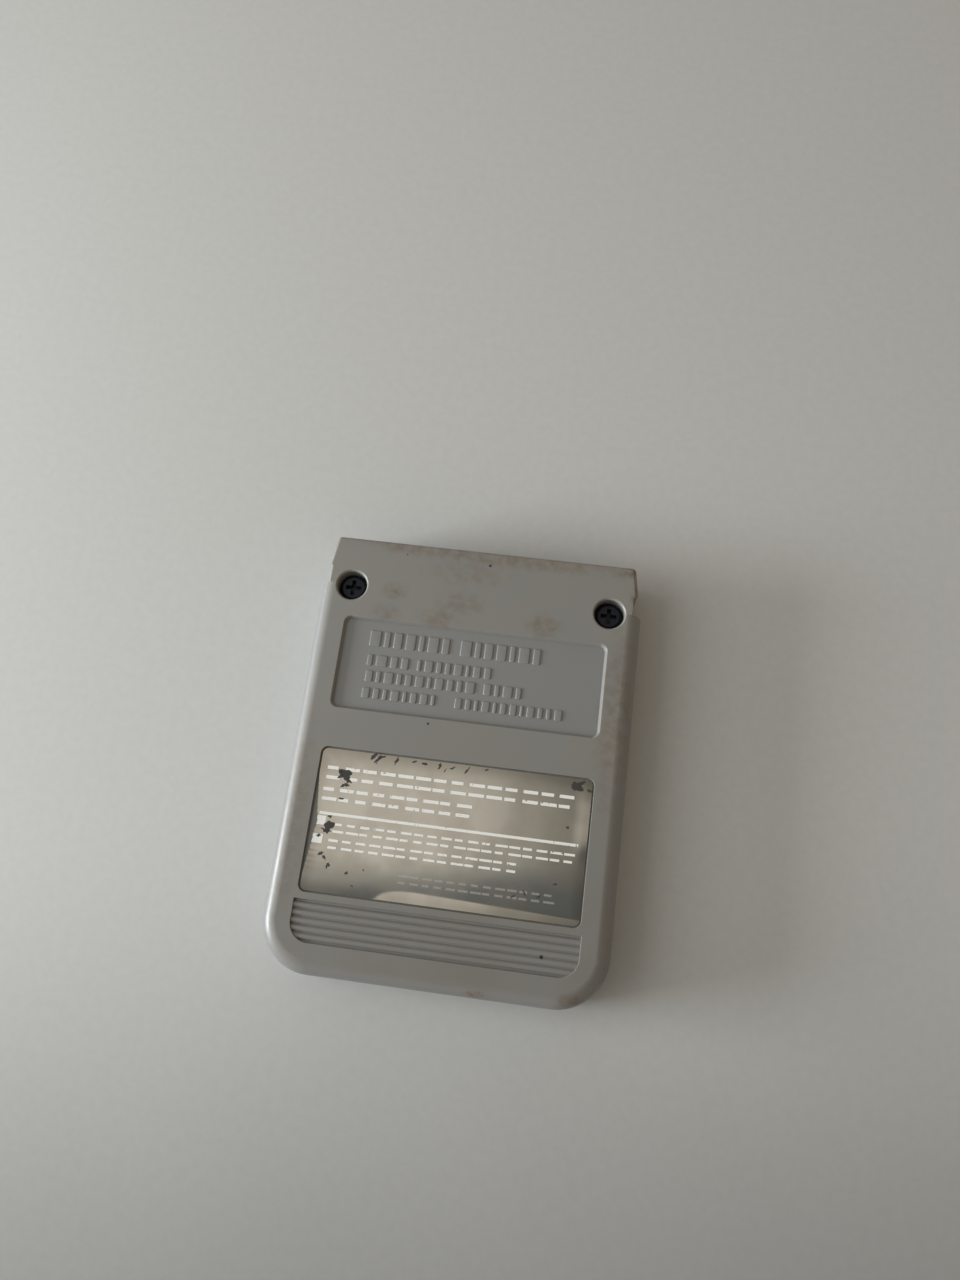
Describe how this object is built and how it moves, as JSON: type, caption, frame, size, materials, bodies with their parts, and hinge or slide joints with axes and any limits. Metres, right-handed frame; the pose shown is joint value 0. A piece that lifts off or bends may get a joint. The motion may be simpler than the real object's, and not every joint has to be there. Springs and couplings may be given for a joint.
{
  "type": "console memory card",
  "caption": "Flat memory card for a game console: hooked and screwed plastic covers round a circuit board, a contact mouth, a recessed panel, a worn foil label and a ribbed grip.",
  "frame": {"origin": "centre of the card's outline on the front face, on which the card lies", "axes": "+X across the card, +Y towards the connector end, +Z out of the rear face with the screws and label"},
  "size_m": [0.042, 0.055, 0.008],
  "materials": {
    "cover_plastic": "fine moulded texture, worn smooth and stained in places",
    "label_foil": "thin silver foil, scuffed, with dark flaked spots",
    "screw_black": "black oxide",
    "board": "green solder resist",
    "contact_plastic": "dark moulded plastic",
    "contact_metal": "gold flash",
    "chip_plastic": "moulded epoxy",
    "lead_tin": "tinned",
    "resonator_can": "drawn and plated",
    "capacitor_moulding": "moulded epoxy",
    "chip_ceramic": "fired ceramic with tinned ends",
    "resistor_ceramic": "glazed black with tinned ends"
  },
  "bodies": {
    "root": {"front_cover": "cover_plastic", "rear_cover": "cover_plastic", "rear_label": "label_foil", "cover_screws": "screw_black", "circuit_board": "board", "contact_block": "contact_plastic", "contact_blade_1": "contact_metal", "contact_blade_2": "contact_metal", "contact_blade_3": "contact_metal", "contact_blade_4": "contact_metal", "contact_blade_5": "contact_metal", "contact_blade_6": "contact_metal", "contact_blade_7": "contact_metal", "contact_blade_8": "contact_metal", "controller_chip": "chip_plastic", "memory_chip": "chip_plastic", "protection_diode": "chip_plastic", "controller_leads": "lead_tin", "memory_leads": "lead_tin", "resonator": "resonator_can", "supply_capacitor": "capacitor_moulding", "chip_capacitors": "chip_ceramic", "chip_resistors": "resistor_ceramic"}
  },
  "joints": []
}
